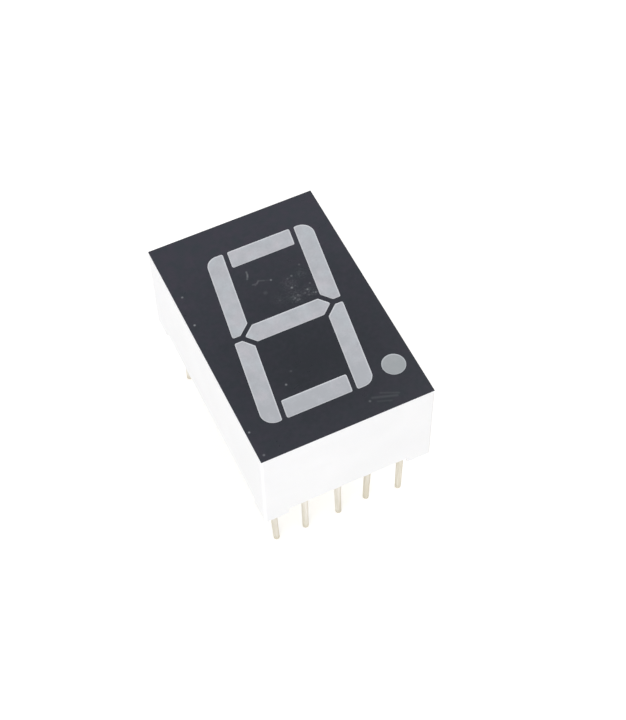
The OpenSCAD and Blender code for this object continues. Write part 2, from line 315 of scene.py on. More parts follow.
SCRATCHES = (
    Scratch((-0.85, 4.86), (-0.88, 4.62), 0.22, 0.15),
    Scratch((-0.88, 4.62), (-0.95, 4.44), 0.22, 0.21),
    Scratch((-0.95, 4.44), (-1.06, 4.26), 0.22, 0.12),
    Scratch((-0.90, 3.66), (-0.62, 3.62), 0.22, 0.08),
    Scratch((-0.62, 3.62), (-0.42, 3.80), 0.20, 0.11),
    Scratch((-0.42, 3.80), (-0.05, 3.66), 0.22, 0.07),
    Scratch((-0.05, 3.66), (0.32, 3.51), 0.20, 0.03),
    Scratch((2.35, -8.22), (3.90, -8.74), 0.34, 0.045),
    Scratch((3.00, -8.10), (4.10, -8.62), 0.26, 0.04),
    Scratch((2.55, -8.62), (3.40, -8.95), 0.24, 0.03),
)
RUBBED = (
    Spot(1.30, 1.45, 1.9, 1.0),
    Spot(2.40, 1.45, 1.6, 0.9),
    Spot(1.40, 2.60, 1.9, 0.7),
    Spot(2.50, 3.10, 1.5, 0.6),
    Spot(0.30, 1.70, 1.6, 0.4),
)


@dataclass(frozen=True)
class PrintedInk:
    """Blue-black two-part ink, screen printed on the face and stoved.

    It dries to a soft gloss with the mesh's faint orange peel. It is darkest inside the lower loop of the
    digit and paler away from it, with clouds all over that drift between blue and violet. Handling leaves
    pale nicks, short scratches and rubbed patches in it.
    """

    pale_ink: str = "#2c2d34"
    dark_ink: str = "#12171f"
    blue_drift: str = "#a6bac2"  # an overlay of #bcbcbc would change nothing
    violet_drift: str = "#cbbed0"
    drift_shows: Span = (0.35, 0.65)
    worn: str = "#c3c7cb"
    darkest_mm: tuple[float, float, float] = (0.5, -3.5, 0.0)
    pales_over_mm: float = 11.0
    darkest_share: float = -0.57  # the share of pale ink at the darkest spot, before the clouds and the peel
    cloud_share: float = 0.4
    cloud_mm: float = 2.6
    peel_share: float = 0.6
    peel_mm: float = 0.32
    peel_deep_mm: float = 0.0016
    drift_mm: float = 0.9
    rough: Span = (0.26, 0.36)
    worn_rougher: float = 0.4
    worn_deeper: float = -1.5  # how far wear cuts below the orange peel, as a multiple of its depth
    nicks: tuple[Spot, ...] = NICKS
    scratches: tuple[Scratch, ...] = SCRATCHES
    rubbed: tuple[Spot, ...] = RUBBED
    speck_mm: float = 0.28
    speck_fades: Span = (0.05, 0.50)  # as shares of the specks' spacing
    speck_shows: Span = (0.12, 0.95)
    speck_strength: float = 0.32
    scuff_mm: float = 0.16
    scuff_shows: Span = (0.42, 0.7)
    scuff_strength: float = 0.10

    def make(self) -> Material:
        """Builds the finish.

        Returns:
            Its material.
        """
        recipe = Recipe("screen_printed_blue_black_ink")
        add, place = recipe.add, recipe.place
        flat = add("ShaderNodeVectorMath", {0: place, 1: (1.0, 1.0, 0.0)}, operation="MULTIPLY")
        cloud = add("ShaderNodeTexNoise", {
            "Vector": flat, "Scale": 1 / self.cloud_mm, "Detail": 4.0, "Roughness": 0.6, "Distortion": 0.5,
        })
        peel = add("ShaderNodeTexNoise", {"Vector": flat, "Scale": 1 / self.peel_mm, "Detail": 2.0})
        # Darker towards a spot inside the lower loop of the digit, paler away from it.
        away = add("ShaderNodeVectorMath", {0: flat, 1: self.darkest_mm}, operation="DISTANCE")
        share = add(
            "ShaderNodeMath", {0: away, 1: 1 / self.pales_over_mm, 2: self.darkest_share}, operation="MULTIPLY_ADD"
        )
        for pattern, weight in ((cloud, self.cloud_share), (peel, self.peel_share)):
            share = add("ShaderNodeMath", {0: pattern, 1: weight, 2: share}, operation="MULTIPLY_ADD")
        print_colour = add("ShaderNodeMix", blend(share, self.dark_ink, self.pale_ink), data_type="RGBA")
        drift = add("ShaderNodeTexNoise", {
            "Vector": flat, "Scale": 1 / self.drift_mm, "Detail": 4.0, "Roughness": 0.65, "Distortion": 0.3,
        })
        drift_share = add("ShaderNodeMapRange", ramp(drift, self.drift_shows))
        tint = add("ShaderNodeMix", blend(drift_share, self.blue_drift, self.violet_drift), data_type="RGBA")
        drifting = add(
            "ShaderNodeMix", blend(1.0, print_colour, tint), data_type="RGBA", blend_type="OVERLAY"
        )
        wear = recipe.strongest([
            *(self._spot(recipe, flat, nick) for nick in self.nicks),
            *(self._scratch(recipe, flat, scratch) for scratch in self.scratches),
            self._rubbed(recipe, flat),
        ])
        colour = add("ShaderNodeMix", blend(wear, drifting, self.worn), data_type="RGBA")
        gloss = add("ShaderNodeMapRange", ramp(cloud, NOISE, self.rough))
        rough = add("ShaderNodeMath", {0: wear, 1: self.worn_rougher, 2: gloss}, operation="MULTIPLY_ADD")
        height = add("ShaderNodeMath", {0: wear, 1: self.worn_deeper, 2: peel}, operation="MULTIPLY_ADD")
        return recipe.surface(
            {"Base Color": colour, "Roughness": rough, "IOR": 1.38},
            {"Strength": 0.5, "Distance": self.peel_deep_mm * MM, "Height": height},
        )

    def _mark(self, recipe: Recipe, away: Socket, mark: Spot | Scratch) -> Socket:
        """Gives a mark's strength, which fades out over half its width, from the way to its middle."""
        fade = ramp(away, (0.0, mark.wide_mm / 2), (mark.strength, 0.0))
        return recipe.add("ShaderNodeMapRange", fade, interpolation_type="SMOOTHSTEP")

    def _spot(self, recipe: Recipe, flat: Socket, spot: Spot) -> Socket:
        """Gives the strength of a round mark at each place on the face."""
        inputs = {0: flat, 1: (spot.x_mm, spot.y_mm, 0.0)}
        return self._mark(recipe, recipe.add("ShaderNodeVectorMath", inputs, operation="DISTANCE"), spot)

    def _scratch(self, recipe: Recipe, flat: Socket, scratch: Scratch) -> Socket:
        """Draws one scratch, with round ends.

        Args:
            recipe: the ink in the making.
            flat: the place on the face, in millimetres.
            scratch: the scratch.

        Returns:
            How far it hides the ink.
        """
        add = recipe.add
        start = Vector((*scratch.start_mm, 0.0))
        run = Vector((*scratch.end_mm, 0.0)) - start
        offset = add("ShaderNodeVectorMath", {0: flat, 1: start}, operation="SUBTRACT")
        along = add("ShaderNodeVectorMath", {0: offset, 1: run / run.length_squared}, operation="DOT_PRODUCT")
        share = add("ShaderNodeMapRange", {"Value": along})
        nearest = add("ShaderNodeVectorMath", {0: run, "Scale": share}, operation="SCALE")
        away = add("ShaderNodeVectorMath", {0: offset, 1: nearest}, operation="DISTANCE")
        return self._mark(recipe, away, scratch)

    def _rubbed(self, recipe: Recipe, flat: Socket) -> Socket:
        """Draws the fine specks and the scuffs of the rubbed patches.

        Args:
            recipe: the ink in the making.
            flat: the place on the face, in millimetres.

        Returns:
            How far they hide the ink.
        """
        add = recipe.add
        dense = recipe.strongest([self._spot(recipe, flat, patch) for patch in self.rubbed])
        cells = add("ShaderNodeTexVoronoi", {"Vector": flat, "Scale": 1 / self.speck_mm})
        dot = add("ShaderNodeMapRange", ramp(cells, self.speck_fades, FADING))
        lot = add("ShaderNodeSeparateColor", {"Color": cells.node.outputs["Color"]})
        chance = add("ShaderNodeMath", {0: lot, 1: dense}, operation="MULTIPLY")
        chosen = add("ShaderNodeMapRange", ramp(chance, self.speck_shows, (0.0, self.speck_strength)))
        specks = add("ShaderNodeMath", {0: dot, 1: chosen}, operation="MULTIPLY")
        scuff = add("ShaderNodeTexNoise", {
            "Vector": flat, "Scale": 1 / self.scuff_mm, "Detail": 2.0, "Roughness": 0.7,
        })
        bare = add("ShaderNodeMapRange", ramp(scuff, self.scuff_shows, (0.0, self.scuff_strength)))
        scuffs = add("ShaderNodeMath", {0: dense, 1: bare}, operation="MULTIPLY")
        return recipe.strongest([specks, scuffs])


@dataclass(frozen=True)
class DiffusedEpoxy:
    """Epoxy with a milky diffusing filler, poured into a light well and cured.

    The filler scatters light in grains and clots, so that it looks like dull frosted glass, grey while it is
    unlit. It is darker towards the foot of the digit, and is paler at the rim of each well, partly where the
    white wall shows through the thin resin and partly as a painted highlight along the edge.

    Attributes:
        name: the material's name.
        resin: its colour.
        rosy: its colour where the cure has left it a rosy cast.
        clot: its colour where the filler gathers.
        rim: its colour at the rim of a well, partly a painted highlight.
        clot_mm: the width of a clot.
        clot_shows: the mix of clots and grains over which a clot shows.
        cast_mm: the width of a rosy patch.
        cast_shows: the noise over which a rosy patch shows.
        darkening_mm: where along the body the colour starts to darken, and where it ends.
        darkening: how much of a clot's colour that adds.
        filler_mm: the width of a grain.
        filler_share: how much the grains show beside the clots.
        filler_deep_mm: how far the grains stand out.
        rough: its roughness.
        light_creeps_mm: how far light creeps in it.
    """

    name: str
    resin: str
    rosy: str
    clot: str
    rim: str
    clot_mm: float = 0.9
    clot_shows: Span = (0.5, 0.95)
    cast_mm: float = 1.3
    cast_shows: Span = (0.38, 0.62)
    darkening_mm: Span = (-2.5, -8.5)
    darkening: float = 0.34
    filler_mm: float = 0.11  # the grains are about 0.02 mm, drawn coarser so that they show
    filler_share: float = 0.45
    filler_deep_mm: float = 0.002
    rough: Span = (0.34, 0.48)
    light_creeps_mm: float = 0.2

    def make(self) -> Material:
        """Builds the finish.

        Returns:
            Its material.
        """
        recipe = Recipe(self.name)
        add, place = recipe.add, recipe.place
        clots = add("ShaderNodeTexNoise", {
            "Vector": place, "Scale": 1 / self.clot_mm, "Detail": 3.0, "Roughness": 0.6,
        })
        filler = add("ShaderNodeTexNoise", {"Vector": place, "Scale": 1 / self.filler_mm, "Detail": 2.0})
        mixed = add("ShaderNodeMath", {0: filler, 1: self.filler_share, 2: clots}, operation="MULTIPLY_ADD")
        # Darker towards the foot of the digit.
        along = add("ShaderNodeSeparateXYZ", {"Vector": place}).node.outputs["Y"]
        darkening = add("ShaderNodeMapRange", ramp(along, self.darkening_mm, (0.0, self.darkening)))
        with_darkening = add("ShaderNodeMath", {0: mixed, 1: darkening})
        share = add("ShaderNodeMapRange", ramp(with_darkening, self.clot_shows))
        cures = add("ShaderNodeTexNoise", {"Vector": place, "Scale": 1 / self.cast_mm, "Detail": 2.0})
        casts = add("ShaderNodeMapRange", ramp(cures, self.cast_shows))
        # The pale rim: partly the white wall seen through the thin resin, partly a painted highlight along
        # the edge.
        pale_rim_and_highlight = add("ShaderNodeAttribute", attribute_name=RIM).node.outputs["Fac"]
        colour: Socket | str = self.resin
        for where, tint in ((casts, self.rosy), (share, self.clot), (pale_rim_and_highlight, self.rim)):
            colour = add("ShaderNodeMix", blend(where, colour, tint), data_type="RGBA")
        rough = add("ShaderNodeMapRange", ramp(filler, NOISE, self.rough))
        return recipe.surface({
            "Base Color": colour, "Roughness": rough, "IOR": 1.52, "Subsurface Weight": 0.15,
            "Subsurface Radius": (1.0, 0.95, 0.9), "Subsurface Scale": self.light_creeps_mm * MM,
        }, {"Strength": 0.4, "Distance": self.filler_deep_mm * MM, "Height": filler})


@dataclass(frozen=True)
class PottingEpoxy:
    """Cream epoxy cast into the back of the body to seal it.

    It levels to a wet gloss, creeps up whatever it touches, holds a few small air bubbles, and is a little
    yellower where it is deep.
    """

    cream: str = "#e4dfcf"
    deep: str = "#d8d0b8"
    pool_mm: float = 3.2
    deep_shows: Span = (0.4, 0.9)
    bubble_mm: float = 1.3  # the spacing of the places that may hold a bubble
    bubble_free: float = 0.72  # the share of those places that hold none
    bubble_fades: Span = (0.05, 0.11)  # as shares of that spacing
    bubble_share: float = 0.5
    bubble_deep_mm: float = 0.03
    rough: Span = (0.10, 0.20)
    light_creeps_mm: float = 0.4

    def make(self) -> Material:
        """Builds the finish.

        Returns:
            Its material.
        """
        recipe = Recipe("cast_cream_epoxy")
        add, place = recipe.add, recipe.place
        pool = add("ShaderNodeTexNoise", {"Vector": place, "Scale": 1 / self.pool_mm, "Detail": 3.0})
        cells = add("ShaderNodeTexVoronoi", {"Vector": place, "Scale": 1 / self.bubble_mm})
        lot = add("ShaderNodeSeparateColor", {"Color": cells.node.outputs["Color"]})
        few = add("ShaderNodeMath", {0: lot, 1: self.bubble_free}, operation="GREATER_THAN")
        ring = add(
            "ShaderNodeMapRange", ramp(cells, self.bubble_fades, FADING), interpolation_type="SMOOTHSTEP"
        )
        bubble = add("ShaderNodeMath", {0: few, 1: ring}, operation="MULTIPLY")
        deep = add("ShaderNodeMath", {0: bubble, 1: self.bubble_share, 2: pool}, operation="MULTIPLY_ADD")
        share = add("ShaderNodeMapRange", ramp(deep, self.deep_shows))
        colour = add("ShaderNodeMix", blend(share, self.cream, self.deep), data_type="RGBA")
        rough = add("ShaderNodeMapRange", ramp(pool, NOISE, self.rough))
        return recipe.surface({
            "Base Color": colour, "Roughness": rough, "IOR": 1.52, "Subsurface Weight": 0.2,
            "Subsurface Radius": (1.0, 0.9, 0.7), "Subsurface Scale": self.light_creeps_mm * MM,
        }, {"Strength": 0.6, "Distance": self.bubble_deep_mm * MM, "Height": bubble})


@dataclass(frozen=True)
class TinnedWire:
    """Copper-clad steel wire, drawn through a die and dipped in tin.

    The die leaves fine lines along it, and the tin a warm pale grey with browner streaks where the dip ran
    thin. Painted light and shade make each pin paler up near the body and darker towards its tip, darkest
    over the last half millimetre, and painted shade darkens the pins to the right.
    """

    tin: str = "#f0eee9"
    streak_and_shade_tin: str = "#d8d3c6"
    edge: str = "#e2dfd7"
    line_mm: float = 0.07
    line_share: float = 0.5
    line_deep_mm: float = 0.004
    streak_mm: float = 0.24
    drawn_out: float = 0.3  # the scale of the lines and streaks along the wire, for each millimetre
    shaded_tip_mm: float = 0.55
    shaded_tip: float = 0.45
    painted_light_and_shade_mm: float = 3.6  # how far above the tips the painted light and shade run
    painted_light_and_shade: Span = (0.10, -0.09)  # how much that adds at the tip, and above it
    right_pin_shade_mm: Span = (0.5, 4.5)  # where across the body the painted shade on the pins starts, and where it is strongest
    right_pin_shade: Span = (-0.04, 0.2)
    streak_and_shade_shows: Span = (0.5, 1.0)
    rough: Span = (0.28, 0.5)

    def make(self) -> Material:
        """Builds the finish.

        Returns:
            Its material.
        """
        recipe = Recipe("drawn_tinned_wire")
        add, place = recipe.add, recipe.place
        patterns = []
        for wide_mm in (self.line_mm, self.streak_mm):
            drawn = add(
                "ShaderNodeMapping", {"Vector": place, "Scale": (1 / wide_mm, 1 / wide_mm, self.drawn_out)}
            )
            patterns.append(add("ShaderNodeTexNoise", {"Vector": drawn, "Scale": 1.0, "Detail": 2.0}))
        lines, streaks = patterns
        axes = add("ShaderNodeSeparateXYZ", {"Vector": place}).node.outputs
        tip_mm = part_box("pin_1")[0].z / MM
        # Painted shade darkens the last half millimetre of each tip, and painted light and shade make each
        # pin paler up near the body and darker towards its tip.
        dull = add(
            "ShaderNodeMapRange", ramp(axes["Z"], (tip_mm, tip_mm + self.shaded_tip_mm), (self.shaded_tip, 0.0))
        )
        painted_light_and_shade = add("ShaderNodeMapRange", ramp(axes["Z"], (tip_mm, tip_mm + self.painted_light_and_shade_mm), self.painted_light_and_shade))
        # Painted shade darkens the pins to the right.
        right_pin_shade = add("ShaderNodeMapRange", ramp(axes["X"], self.right_pin_shade_mm, self.right_pin_shade))
        mixed = add("ShaderNodeMath", {0: lines, 1: self.line_share, 2: streaks}, operation="MULTIPLY_ADD")
        painted_along_pin = add("ShaderNodeMath", {0: dull, 1: painted_light_and_shade})
        pin_painted_light_and_shade = add("ShaderNodeMath", {0: painted_along_pin, 1: right_pin_shade})
        thin = add("ShaderNodeMath", {0: mixed, 1: pin_painted_light_and_shade})
        share = add("ShaderNodeMapRange", ramp(thin, self.streak_and_shade_shows))
        colour = add("ShaderNodeMix", blend(share, self.tin, self.streak_and_shade_tin), data_type="RGBA")
        rough = add("ShaderNodeMapRange", ramp(mixed, self.streak_and_shade_shows, self.rough))
        return recipe.surface({
            "Base Color": colour, "Roughness": rough, "Metallic": 1.0, "Specular Tint": linear(self.edge),
        }, {"Strength": 0.4, "Distance": self.line_deep_mm * MM, "Height": lines})


@dataclass(frozen=True)
class SpeckledMetal:
    """A small metal piece that was cast, plated or drawn, with dull and bright patches.

    Attributes:
        name: the material's name.
        bright: its colour where it is clean.
        dull: its colour where it has tarnished.
        patch_mm: the width of a patch.
        rough: its roughness where it is clean.
        rougher: how much rougher it is where it has tarnished.
        patch_deep_mm: how far the patches stand out.
    """

    name: str
    bright: str
    dull: str
    patch_mm: float
    rough: float
    rougher: float = 0.2
    patch_deep_mm: float = 0.003

    def make(self) -> Material:
        """Builds the finish.

        Returns:
            Its material.
        """
        recipe = Recipe(self.name)
        add, place = recipe.add, recipe.place
        patch = add("ShaderNodeTexNoise", {"Vector": place, "Scale": 1 / self.patch_mm, "Detail": 4.0})
        colour = add("ShaderNodeMix", blend(patch, self.bright, self.dull), data_type="RGBA")
        rough = add("ShaderNodeMapRange", ramp(patch, NOISE, (self.rough, self.rough + self.rougher)))
        return recipe.surface(
            {"Base Color": colour, "Roughness": rough, "Metallic": 1.0},
            {"Strength": 0.3, "Distance": self.patch_deep_mm * MM, "Height": patch},
        )


@dataclass(frozen=True)
class LacqueredLaminate:
    """Glass-fibre laminate under green solder lacquer.

    The weave of the glass shows through the lacquer as faint crossed ribs half a millimetre apart.
    """

    lacquer: str = "#3f6a3a"
    over_glass: str = "#54803f"
    thread_mm: float = 0.5
    thread_deep_mm: float = 0.01
    rough: Span = (0.3, 0.4)

    def make(self) -> Material:
        """Builds the finish.

        Returns:
            Its material.
        """
        recipe = Recipe("green_lacquered_glass_laminate")
        add, place = recipe.add, recipe.place
        warp, weft = (
            add(
                "ShaderNodeTexWave",
                {"Vector": place, "Scale": WAVE_BAND / self.thread_mm, "Distortion": 0.4},
                bands_direction=direction,
            ).node.outputs["Fac"]
            for direction in "XY"
        )
        weave = add("ShaderNodeMath", {0: warp, 1: weft}, operation="MULTIPLY")
        colour = add("ShaderNodeMix", blend(weave, self.lacquer, self.over_glass), data_type="RGBA")
        rough = add("ShaderNodeMapRange", ramp(weave, WHOLE, self.rough))
        return recipe.surface(
            {"Base Color": colour, "Roughness": rough, "IOR": 1.52},
            {"Strength": 0.3, "Distance": self.thread_deep_mm * MM, "Height": weave},
        )


@dataclass(frozen=True)
class SawnCrystal:
    """Gallium arsenide phosphide, sawn from a wafer into chips.

    It is dark and glassy, with fine saw lines across its sides.
    """

    crystal: str = "#7c2428"
    sawn: str = "#95403c"
    line_mm: float = 0.02
    line_deep_mm: float = 0.001
    rough: Span = (0.1, 0.3)

    def make(self) -> Material:
        """Builds the finish.

        Returns:
            Its material.
        """
        recipe = Recipe("sawn_red_crystal")
        add, place = recipe.add, recipe.place
        lines = add("ShaderNodeTexNoise", {"Vector": place, "Scale": 1 / self.line_mm, "Detail": 2.0})
        colour = add("ShaderNodeMix", blend(lines, self.crystal, self.sawn), data_type="RGBA")
        rough = add("ShaderNodeMapRange", ramp(lines, WHOLE, self.rough))
        return recipe.surface(
            {"Base Color": colour, "Roughness": rough, "IOR": 2.4},
            {"Strength": 0.3, "Distance": self.line_deep_mm * MM, "Height": lines},
        )


def dress(node: str, material: Material) -> None:
    """Gives a CAD node its material.

    Args:
        node: the node's name.
        material: its material.
    """
    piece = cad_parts[node]
    for holder in piece.material_slots:
        holder.material = material
    log.info("%s: %s", node, material.name)


def seat(piece: bpy.types.Object, nodes: list[str]) -> None:
    """Lets a new piece stand for CAD nodes and ride on the body.

    Args:
        piece: the piece, with its place in its mesh.
        nodes: the CAD nodes that it stands for.
    """
    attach(piece, BODY)
    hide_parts(*nodes)
    log.info("%s: %d faces, for %s", piece.name, len(piece.data.polygons), ", ".join(nodes))


def new_piece(name: str, mesh: bpy.types.Mesh) -> bpy.types.Object:
    """Puts a mesh in the scene.

    Args:
        name: the object's name.
        mesh: its mesh, in the CAD frame.

    Returns:
        Its object, at the origin.
    """
    piece = bpy.data.objects.new(name, mesh)
    bpy.context.scene.collection.objects.link(piece)
    return piece


def set_up(name: str, data: bpy.types.ID, place: Vector, turn: Quaternion) -> bpy.types.Object:
    """Puts a lamp or a camera in the scene.

    Args:
        name: its name.
        data: the lamp or the camera.
        place: where it stands.
        turn: how it is turned.

    Returns:
        Its object.
    """
    holder = bpy.data.objects.new(name, data)
    holder.location = place
    holder.rotation_mode = "QUATERNION"
    holder.rotation_quaternion = turn
    bpy.context.scene.collection.objects.link(holder)
    return holder


@dataclass
class Housing:
    """The moulded body with its light wells."""

    finish: Finish = MouldedPolycarbonate()

    def dress(self) -> None:
        """Gives the body its material."""
        dress("reflector_housing", self.finish.make())


@dataclass
class Face:
    """The ink on the front of the body."""

    finish: Finish = PrintedInk()

    def dress(self) -> None:
        """Gives the ink its material."""
        dress("face_ink", self.finish.make())


@dataclass
class LightWells:
    """The resin in the eight light wells, whose surface is drawn up a little at its rim.

    Attributes:
        segments: the resin of the seven segments.
        point: the resin of the decimal point.
        rim_rise_mm: how far the rim stands above the CAD surface, still below the ink's.
        middle_drop_mm: how far the middle lies below the CAD surface.
        creep_mm: how far the curved rim reaches inwards.
        rings: how many steps the curve takes.
        weld_mm: the distance within which two CAD points are one.
        level_mm: the distance within which a CAD point lies on the surface.
        surface_mm: the depth within which a finished face belongs to the surface.
        lid_upward: the upward part of its normal from which a CAD face belongs to the surface.
        smooth_upward: the same for a finished face.
    """

    segments: Finish = DiffusedEpoxy("diffused_grey_epoxy", "#bec4ca", "#c3c1c8", "#b1b4ba", "#dfe1e6")
    point: Finish = DiffusedEpoxy("diffused_green_grey_epoxy", "#a5aeb1", "#acadb0", "#9fa4a8", "#c3c8cd")
    rim_rise_mm: float = 0.014
    middle_drop_mm: float = 0.012
    creep_mm: float = 0.10
    rings: int = 5
    weld_mm: float = 1e-4
    level_mm: float = 1e-3
    surface_mm: float = 0.1
    lid_upward: float = 0.99
    smooth_upward: float = 0.5

    def build(self) -> None:
        """Builds and dresses the resin of every light."""
        segment_resin, point_resin = self.segments.make(), self.point.make()
        for light in Light:
            if light is Light.POINT:
                self._pour(light, point_resin)
            else:
                self._pour(light, segment_resin)

    def _pour(self, light: Light, resin: Material) -> None:
        """Makes one light's resin from its CAD solid, with a hollow surface.

        Args:
            light: the light.
            resin: its material.
        """
        node = f"light_fill_{light.value}"
        shape = bmesh.new()
        shape.from_mesh(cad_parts[node].data)
        rim = shape.verts.layers.float.new(RIM)
        bmesh.ops.remove_doubles(shape, verts=shape.verts, dist=self.weld_mm * MM)
        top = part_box(node)[1].z
        lid = [
            face for face in shape.faces
            if face.normal.z > self.lid_upward
            and all(abs(vertex.co.z - top) < self.level_mm * MM for vertex in face.verts)
        ]
        surface = bmesh.ops.dissolve_faces(shape, faces=lid)["region"]
        for ring in range(self.rings + 1):
            if ring:
                step = self.creep_mm / self.rings * MM
                bmesh.ops.inset_region(shape, faces=surface, thickness=step, use_even_offset=True)
            for vertex in surface[0].verts:
                vertex.co.z = self._level(top, ring / self.rings)
                vertex[rim] = 1 - ring / self.rings
        bottom = top - self.surface_mm * MM
        for face in shape.faces:
            face.smooth = face.normal.z > self.smooth_upward and face.calc_center_median().z > bottom
        mesh = bpy.data.meshes.new(f"resin_{light.value}")
        shape.to_mesh(mesh)
        shape.free()
        mesh.materials.append(resin)
        seat(new_piece(mesh.name, mesh), [node])

    def _level(self, top: float, share: float) -> float:
        """Gives the surface's height at a share of the way in over its curved rim, from the CAD surface's."""
        drop = (self.rim_rise_mm + self.middle_drop_mm) * (1 - (1 - share) ** 2)
        return top + (self.rim_rise_mm - drop) * MM


@dataclass
class Board:
    """The circuit board, with its copper, solder, chips and bond wires, all sealed inside the body."""

    laminate: Finish = LacqueredLaminate()
    copper: Finish = SpeckledMetal("rolled_copper_foil", "#cf9a6c", "#b07648", 0.8, 0.3)
    solder: Finish = SpeckledMetal("tin_lead_solder", "#c4c4c0", "#a3a39f", 0.3, 0.3)
    silver_glue: Finish = SpeckledMetal("silver_filled_epoxy", "#bdbdb9", "#94948f", 0.05, 0.5)
    gold: Finish = SpeckledMetal("fine_gold_wire", "#e0b862", "#c99b45", 0.1, 0.2)
    crystal: Finish = SawnCrystal()

    def dress(self) -> None:
        """Gives every piece of the board its material, by the start of its node's name."""
        finishes = {
            "circuit_board": self.laminate, "front_copper": self.copper, "back_copper": self.copper,
            "solder_joint_": self.solder, "chip_adhesive_": self.silver_glue, "bond_wire_": self.gold,
            "chip_": self.crystal,
        }
        made = {finish: finish.make() for finish in dict.fromkeys(finishes.values())}
        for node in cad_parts:
            start = next((start for start in finishes if node.startswith(start)), None)
            if start:
                dress(node, made[finishes[start]])


@dataclass
class Potting:
    """The cast epoxy that closes the back of the body.

    Attributes:
        finish: the epoxy's finish.
        grid_mm: the distance between two points of its surface.
        clear_mm: the gap to the skirt, so that no two faces coincide.
        wall_rise_mm: how far it climbs the skirt.
        wall_reach_mm: how quickly that climb dies out.
        pin_rise_mm: how far it climbs each pin.
        pin_reach_mm: how quickly that climb dies out.
        pin_r_mm: the radius of a pin.
        ripple_mm: how far the surface is from level.
        ripple_across_mm: the length of a ripple across the body, over a full turn's radians.
        ripple_along_mm: its length along the body, likewise.
        ripple_starts: how far a ripple has turned at the body's middle, across and along, in radians.
    """

    finish: Finish = PottingEpoxy()
    grid_mm: float = 0.08
    clear_mm: float = 0.003
    wall_rise_mm: float = 0.13
    wall_reach_mm: float = 0.28
    pin_rise_mm: float = 0.15
    pin_reach_mm: float = 0.13
    pin_r_mm: float = 0.25
    ripple_mm: float = 0.015
    ripple_across_mm: float = 1.9
    ripple_along_mm: float = 2.7
    ripple_starts: Span = (0.7, -0.4)

    def build(self, pins: list[Vector]) -> None:
        """Builds and dresses the epoxy.

        Args:
            pins: the middle of each pin.
        """
        low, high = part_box("rear_potting")
        edge = self.clear_mm * MM
        xs, ys = (
            np.linspace(low[k] + edge, high[k] - edge, round((high[k] - low[k]) / (self.grid_mm * MM)) + 1)
            for k in (0, 1)
        )
        x, y = np.meshgrid(xs, ys, indexing="ij")
        across, along = x / (self.ripple_across_mm * MM), y / (self.ripple_along_mm * MM)
        ripple = np.sin(across + self.ripple_starts[0]) * np.cos(along + self.ripple_starts[1])
        z = low.z + self.pin_rise_mm * MM + self.ripple_mm * MM * ripple
        to_wall = np.minimum.reduce([x - xs[0], xs[-1] - x, y - ys[0], ys[-1] - y])
        z -= self.wall_rise_mm * MM * np.exp(-to_wall / (self.wall_reach_mm * MM))
        for pin in pins:
            to_pin = np.maximum(np.hypot(x - pin.x, y - pin.y) - self.pin_r_mm * MM, 0.0)
            z -= self.pin_rise_mm * MM * np.exp(-to_pin / (self.pin_reach_mm * MM))
        z = np.clip(z, low.z, high.z)
        seat(new_piece("potting_epoxy", self._closed(x, y, z, high.z)), ["rear_potting"])

    def _closed(self, x: np.ndarray, y: np.ndarray, z: np.ndarray, roof: float) -> bpy.types.Mesh:
        """Closes a surface that looks down into a solid under a level roof.

        Args:
            x: the points' places across the body, as a grid.
            y: their places along it.
            z: their heights.
            roof: the roof's height.

        Returns:
            The solid as a mesh.
        """
        number = np.arange(x.size).reshape(x.shape)
        corners = [number[:-1, :-1], number[:-1, 1:], number[1:, 1:], number[1:, :-1]]
        floor = np.stack(corners, -1).reshape(-1, 4)
        rim = [*number[:-1, 0], *number[-1, :-1], *number[:0:-1, -1], *number[0, :0:-1]]
        roof_rim = list(range(x.size, x.size + len(rim)))
        points = [*zip(x.ravel(), y.ravel(), z.ravel()), *((x.flat[i], y.flat[i], roof) for i in rim)]
        sides = zip(rim, rim[1:] + rim[:1], roof_rim[1:] + roof_rim[:1], roof_rim)
        mesh = bpy.data.meshes.new("potting_epoxy")
        mesh.from_pydata(points, [], [*(tuple(map(int, f)) for f in floor), *sides, tuple(roof_rim)])
        mesh.polygons.foreach_set("use_smooth", [i < len(floor) for i in range(len(mesh.polygons))])
        mesh.materials.append(self.finish.make())
        mesh.update()
        return mesh


